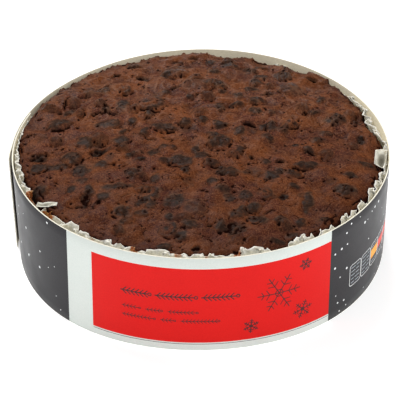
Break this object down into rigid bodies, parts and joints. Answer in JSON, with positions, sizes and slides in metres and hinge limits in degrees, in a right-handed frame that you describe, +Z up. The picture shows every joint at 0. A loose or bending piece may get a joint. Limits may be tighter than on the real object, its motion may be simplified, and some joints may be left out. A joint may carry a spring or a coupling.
{
  "type": "fruit cake",
  "caption": "Round domed fruit cake baked in a pleated paper liner and wrapped in a printed card band that laps on itself at the left.",
  "frame": {"origin": "middle of the card band's footprint, on the surface the cake stands on", "axes": "+Z up through the cake; the printed panel of the band faces -Y, and +X is to the right of someone facing it"},
  "size_m": [0.183, 0.1824, 0.059],
  "materials": {
    "crust": "matte",
    "paper": "matte",
    "card": "satin"
  },
  "bodies": {
    "root": {"cake": "crust", "paper_liner": "paper", "card_band": "card"}
  },
  "joints": []
}
